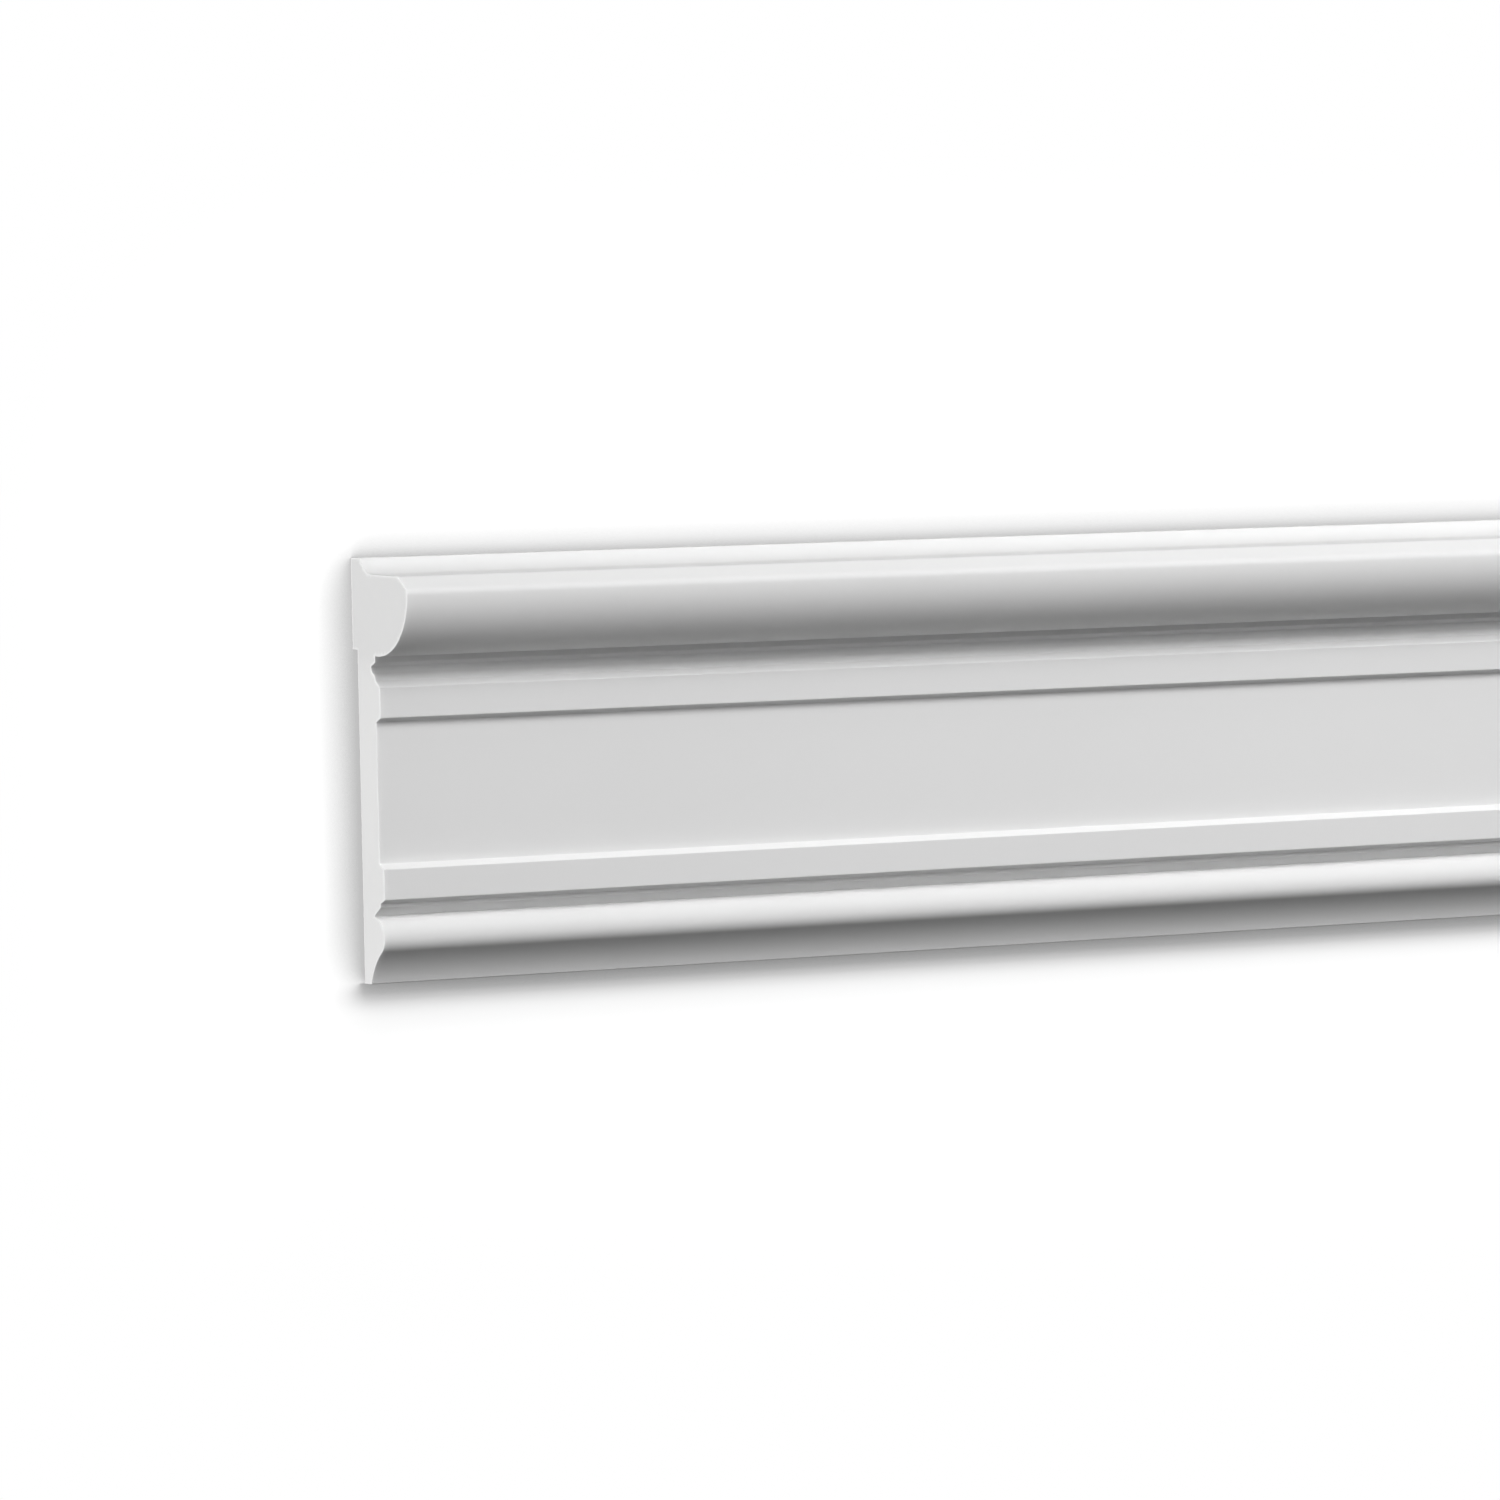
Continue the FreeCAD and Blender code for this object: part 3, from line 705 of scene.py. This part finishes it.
def cut_material(finish, grain, specks):
    """Sawn foam: fine closed cells, a few open pores and a paler dense skin at the rim."""
    material, w, shader = new_material("cut_foam")
    cells = w.node("ShaderNodeGroup", {"node_tree": grain}, Cell=finish.cell_size)
    pore = w.node("ShaderNodeGroup", {"node_tree": specks}, Spacing=PORE_GAP, Size=PORE_SIZE,
                  Amount=PORE_AMOUNT).outputs["Speck"]
    rim = w.node("ShaderNodeAttribute", {"attribute_name": "skin"}).outputs["Fac"]
    # Paler where the section is thin, darker in the thick of the roll.
    dense = w.node("ShaderNodeAttribute", {"attribute_name": "thin_part"}).outputs["Fac"]
    foam = w.mix(dense, rgba(finish.core_tone), rgba(finish.foam_tone))
    mottle = w.node("ShaderNodeMapRange", Value=cells.outputs["Shade"], To_Min=MOTTLE,
                    To_Max=0.0)
    foam = w.mix(mottle.outputs[0], foam, (0, 0, 0, 1))
    foam = w.mix(w.math("MULTIPLY", pore, PORE_SHADE), foam,
                 rgba(finish.foam_tone, PORE_TONE))
    w.feed(shader, "Base Color", w.mix(rim, foam, rgba(finish.skin_tone)))
    shader.inputs["Roughness"].default_value = finish.foam_roughness
    shader.inputs["Specular IOR Level"].default_value = DULL_GLOSS
    height = w.math("SUBTRACT", cells.outputs["Height"], w.math("MULTIPLY", pore, PORE_DEPTH))
    bump = w.node("ShaderNodeBump", Strength=0.35, Distance=CUT_BUMP, Height=height)
    w.feed(shader, "Normal", bump.outputs[0])
    return material


def back_material(finish, grain):
    """The unprimed back, dull and slightly uneven."""
    material, w, shader = new_material("moulded_back")
    cells = w.node("ShaderNodeGroup", {"node_tree": grain}, Cell=2 * finish.cell_size)
    w.feed(shader, "Base Color",
           w.mix(cells.outputs["Shade"], *(rgba(finish.back_tone, gain) for gain in BACK_RANGE)))
    shader.inputs["Roughness"].default_value = finish.foam_roughness
    shader.inputs["Specular IOR Level"].default_value = DULL_GLOSS
    bump = w.node("ShaderNodeBump", Strength=0.4, Distance=BACK_BUMP,
                  Height=cells.outputs["Shade"])
    w.feed(shader, "Normal", bump.outputs[0])
    return material


# ---- studio ----

def is_seen(w):
    """One for what the camera sees directly, in a reflection or through glass."""
    path = w.node("ShaderNodeLightPath").outputs
    mirrored = w.math("MAXIMUM", path["Is Glossy Ray"], path["Is Transmission Ray"])
    return w.math("MAXIMUM", path["Is Camera Ray"], mirrored)


def table_material(setting, section):
    """White table top that keeps the rail's shadow from the lamps, adds a painted contact shade
    round the rail and fades to plain white round it.
    """
    material, w, shader = new_material("white_table")
    w.tree.nodes.remove(shader)
    place = w.node("ShaderNodeTexCoord").outputs["Object"]
    parts = w.node("ShaderNodeSeparateXYZ", Vector=place).outputs
    beyond = []
    for axis, half in ((0, section.stock_length / 2), (1, section.rail_width / 2)):
        past = w.math("SUBTRACT", w.math("ABSOLUTE", parts[axis]), half)
        beyond.append(w.math("MAXIMUM", past, 0.0))
    away = w.math("SQRT", w.math("ADD", w.math("MULTIPLY", beyond[0], beyond[0]),
                                 w.math("MULTIPLY", beyond[1], beyond[1])))
    fade = w.node("ShaderNodeMapRange", {"interpolation_type": "SMOOTHSTEP"}, Value=away,
                  From_Min=FADE_START, From_Max=FADE_END).outputs[0]
    gain = setting.table_gain
    # Painted contact shade: ambient occlusion near the rail, never below least_open, darkens the
    # table's colour and its glow.
    painted_shade_ao = w.node("ShaderNodeAmbientOcclusion", {"samples": 8},
                      Distance=setting.contact_reach).outputs["AO"]
    painted_shade_ao = w.math("MAXIMUM", painted_shade_ao, setting.least_open)
    lit = w.node("ShaderNodeBsdfDiffuse",
                 Color=w.mix(painted_shade_ao, (0, 0, 0, 1), rgba((1, 1, 1), gain))).outputs[0]
    # A glow on the table, dimmed by the painted contact shade, stands in for light from all
    # round.
    soft = w.node("ShaderNodeEmission", Color=(1, 1, 1, 1),
                  Strength=w.math("MULTIPLY", painted_shade_ao, setting.table_glow)).outputs[0]
    plain = w.node("ShaderNodeEmission", Color=(1, 1, 1, 1), Strength=1.0).outputs[0]
    board = w.node("ShaderNodeBsdfDiffuse", Color=rgba((1, 1, 1), TABLE_BOUNCE)).outputs[0]
    # Painted balance of shade by side: below the rail the lamps' shadow shows more, above it and
    # beside its ends the painted glow takes over.
    below = w.math("MAXIMUM", w.math("SUBTRACT", w.math("MULTIPLY", parts[1], -1.0),
                                     section.rail_width / 2), 0.0)
    shaded_side = w.math("DIVIDE", below, w.math("MAXIMUM", away, LEAST_REACH))
    painted_glow_share = w.node("ShaderNodeMapRange", Value=shaded_side, To_Min=setting.open_side_glow_share,
                        To_Max=setting.painted_glow_share).outputs[0]
    near = w.blend(painted_glow_share, lit, soft)
    seen = w.blend(is_seen(w), board, w.blend(fade, near, plain))
    w.tree.links.new(seen, w.tree.nodes["Material Output"].inputs["Surface"])
    return material


def fill_world(setting):
    """Even light from all round, with a white background behind it."""
    world = bpy.data.worlds.new("white_room")
    world.use_nodes = True
    w = Wiring(world.node_tree)
    background = world.node_tree.nodes["Background"]
    seen = is_seen(w)
    background.inputs["Color"].default_value = (1, 1, 1, 1)
    strength = w.node("ShaderNodeMapRange", Value=seen, To_Min=setting.ambient, To_Max=1.0)
    w.feed(background, "Strength", strength.outputs[0])
    bpy.context.scene.world = world


def add_lamp(name, direction, distance, size, power):
    """A soft box that faces the middle of the rail."""
    data = bpy.data.lights.new(name, "AREA")
    data.shape = "RECTANGLE"
    data.size, data.size_y = size
    data.energy = power
    lamp = bpy.data.objects.new(name, data)
    bpy.context.scene.collection.objects.link(lamp)
    toward = Vector(direction).normalized()
    lamp.location = toward * distance
    lamp.rotation_euler = (-toward).to_track_quat("-Z", "Y").to_euler()
    lamp.visible_camera = False
    return lamp


def add_camera(setting):
    """The camera of the picture, with the rail's top edge upwards."""
    data = bpy.data.cameras.new("camera")
    data.sensor_fit, data.sensor_width = "HORIZONTAL", 36.0
    data.lens = setting.focal_length
    camera = bpy.data.objects.new("camera", data)
    bpy.context.scene.collection.objects.link(camera)
    place, target = Vector(setting.camera_place), Vector(setting.camera_target)
    back = (place - target).normalized()
    right = Vector((0, 1, 0)).cross(back).normalized()
    turned = Matrix((right, back.cross(right), back)).transposed().to_4x4()
    camera.matrix_world = (Matrix.Translation(place) @ turned
                           @ Matrix.Rotation(-setting.camera_roll, 4, "Z"))
    bpy.context.scene.camera = camera


# ---- operators ----

class DADO_OT_moulding(bpy.types.Operator):
    """Build the moulded rail with its primed face, cut ends and back"""

    bl_idname = "dado.moulding"
    bl_label = "Moulded rail"

    def execute(self, context):
        scene = context.scene
        rail = bpy.data.objects.new("moulded_rail",
                                    moulding_mesh(scene.dado_section, scene.dado_finish))
        scene.collection.objects.link(rail)
        specks, grain = speck_group(), grain_group()
        finish = scene.dado_finish
        for material in (primed_material(finish, specks), cut_material(finish, grain, specks),
                         back_material(finish, grain)):
            rail.data.materials.append(material)
        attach(rail, "root")
        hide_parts(RAIL)
        return {"FINISHED"}


class DADO_OT_studio(bpy.types.Operator):
    """Set up the white table, the lamps and the camera"""

    bl_idname = "dado.studio"
    bl_label = "Studio"

    def execute(self, context):
        scene = context.scene
        setting = scene.dado_studio
        half = setting.table_size / 2
        mesh = bpy.data.meshes.new("white_table")
        corners = [(-half, -half, 0), (half, -half, 0), (half, half, 0), (-half, half, 0)]
        mesh.from_pydata(corners, [], [(0, 1, 2, 3)])
        mesh.materials.append(table_material(setting, scene.dado_section))
        table = bpy.data.objects.new("white_table", mesh)
        scene.collection.objects.link(table)
        for lamp in LAMPS:
            add_lamp(*lamp)
        fill_world(setting)
        add_camera(setting)
        scene.view_settings.view_transform = "Standard"
        return {"FINISHED"}


class DADO_PT_sidebar(bpy.types.Panel):
    """Sizes and finish of the rail, and the studio"""

    bl_label = "Dado rail"
    bl_idname = "DADO_PT_sidebar"
    bl_space_type = "VIEW_3D"
    bl_region_type = "UI"
    bl_category = "Dado rail"

    def draw(self, context):
        layout = self.layout
        scene = context.scene
        for group, operator in ((scene.dado_section, None), (scene.dado_finish, "dado.moulding"),
                                (scene.dado_studio, "dado.studio")):
            column = layout.column(align=True)
            for name in group.__annotations__:
                column.prop(group, name)
            if operator:
                layout.operator(operator)


CLASSES = (RailSection, RailFinish, StudioSetting, DADO_OT_moulding, DADO_OT_studio,
           DADO_PT_sidebar)


def register():
    for cls in CLASSES:
        bpy.utils.register_class(cls)
    bpy.types.Scene.dado_section = PointerProperty(type=RailSection)
    bpy.types.Scene.dado_finish = PointerProperty(type=RailFinish)
    bpy.types.Scene.dado_studio = PointerProperty(type=StudioSetting)


def unregister():
    for name in ("dado_section", "dado_finish", "dado_studio"):
        delattr(bpy.types.Scene, name)
    for cls in reversed(CLASSES):
        bpy.utils.unregister_class(cls)


def main():
    """Builds everything in order."""
    register()
    bpy.ops.dado.moulding()
    bpy.ops.dado.studio()


if __name__ == "__main__":
    main()
